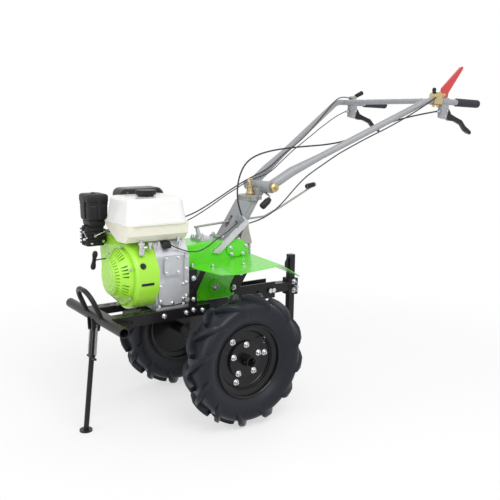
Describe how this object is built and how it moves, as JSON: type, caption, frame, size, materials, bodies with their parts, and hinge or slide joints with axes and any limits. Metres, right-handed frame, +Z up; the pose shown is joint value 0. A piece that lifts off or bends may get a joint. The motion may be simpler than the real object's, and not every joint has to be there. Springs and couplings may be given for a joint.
{
  "type": "walk-behind two-wheel hand tractor",
  "caption": "Two-wheel walk-behind tractor: petrol engine on front rails, geared axle with lugged tyres, fenders, folding prop stand, swivelling and tilting handlebars, rear hitch.",
  "frame": {"origin": "on the floor, under the middle of the machine's length and width", "axes": "+X towards the machine's front (engine end), +Y to the machine's left, +Z up"},
  "size_m": [1.674, 0.6094, 1.282],
  "materials": {
    "tyre": "moulded agricultural rubber",
    "black_paint": "semi-gloss black paint",
    "green_paint": "gloss bright green paint",
    "lime_paint": "gloss yellow-green paint",
    "grey_paint": "satin grey hammer paint",
    "white_paint": "gloss white paint",
    "cream_paint": "gloss cream paint",
    "red_paint": "gloss red paint",
    "cast_alloy": "as-cast aluminium",
    "cast_iron": "dark grey cast iron",
    "zinc": "bright zinc plating",
    "brass_plate": "yellow passivated zinc",
    "black_plastic": "black moulded plastic",
    "rubber": "black rubber",
    "cable": "black plastic sheath",
    "spring_steel": "plated spring wire"
  },
  "bodies": {
    "root": {"air_cleaner": "black_plastic", "axle_case": "cast_iron", "blower_housing": "lime_paint", "bumper": "black_paint", "carburettor": "black_plastic", "clutch_arm": "zinc", "crankcase": "cast_alloy", "cross_members": "black_paint", "depth_bar": "black_paint", "engine_wire": "cable", "fender_brackets": "black_paint", "fender_left": "green_paint", "fender_right": "green_paint", "fuel_cap": "black_plastic", "fuel_tap": "zinc", "gear_case": "green_paint", "gear_lever": "brass_plate", "hitch": "black_paint", "mast": "grey_paint", "muffler": "black_paint", "oil_sensor": "black_plastic", "rail_left": "black_paint", "rail_right": "black_paint", "recoil_cover": "lime_paint", "recoil_grip": "black_plastic", "rocker_cover": "black_paint", "selector_plate": "cast_alloy", "shift_bracket": "zinc", "stand_springs": "spring_steel", "tank_lower": "cream_paint", "tank_upper": "white_paint", "uprights": "black_paint"},
    "wheel_left": {"tyre_left": "tyre", "rim_left": "black_paint", "hub_left": "black_paint", "half_axle_left": "zinc"},
    "wheel_right": {"tyre_right": "tyre", "rim_right": "black_paint", "hub_right": "black_paint", "half_axle_right": "zinc"},
    "stand": {"stand_leg": "black_paint"},
    "head": {"head": "grey_paint", "swivel_bolt": "brass_plate", "clamp_lever": "zinc"},
    "handlebars": {"handle_left": "grey_paint", "handle_right": "grey_paint", "handle_bar": "grey_paint", "grips": "rubber", "hand_levers": "black_paint", "turn_lever": "red_paint", "throttle": "black_plastic", "pivot_bolt": "brass_plate", "clutch_cable": "cable", "reverse_cable": "cable", "throttle_cable": "cable", "stop_cable": "cable"}
  },
  "joints": [
    {"name": "wheel_left_spin", "type": "hinge", "parent": "root", "child": "wheel_left", "pos_m": [0.324, 0.2455, 0.235], "axis": [0, 1, 0], "continuous": true},
    {"name": "wheel_right_spin", "type": "hinge", "parent": "root", "child": "wheel_right", "pos_m": [0.324, -0.2455, 0.235], "axis": [0, 1, 0], "continuous": true},
    {"name": "stand_fold", "type": "hinge", "parent": "root", "child": "stand", "pos_m": [0.776, 0, 0.366], "axis": [0, 1, 0], "range_deg": [0, 90], "deforming": ["stand_springs"]},
    {"name": "handlebar_swivel", "type": "hinge", "parent": "root", "child": "head", "pos_m": [0.138, 0, 0.771], "axis": [0, 0, 1], "range_deg": [-30, 30]},
    {"name": "handlebar_tilt", "type": "hinge", "parent": "head", "child": "handlebars", "pos_m": [0.092, 0, 0.811], "axis": [0, 1, 0], "range_deg": [-18, 10], "deforming": ["clutch_cable", "reverse_cable", "throttle_cable", "stop_cable"]}
  ]
}
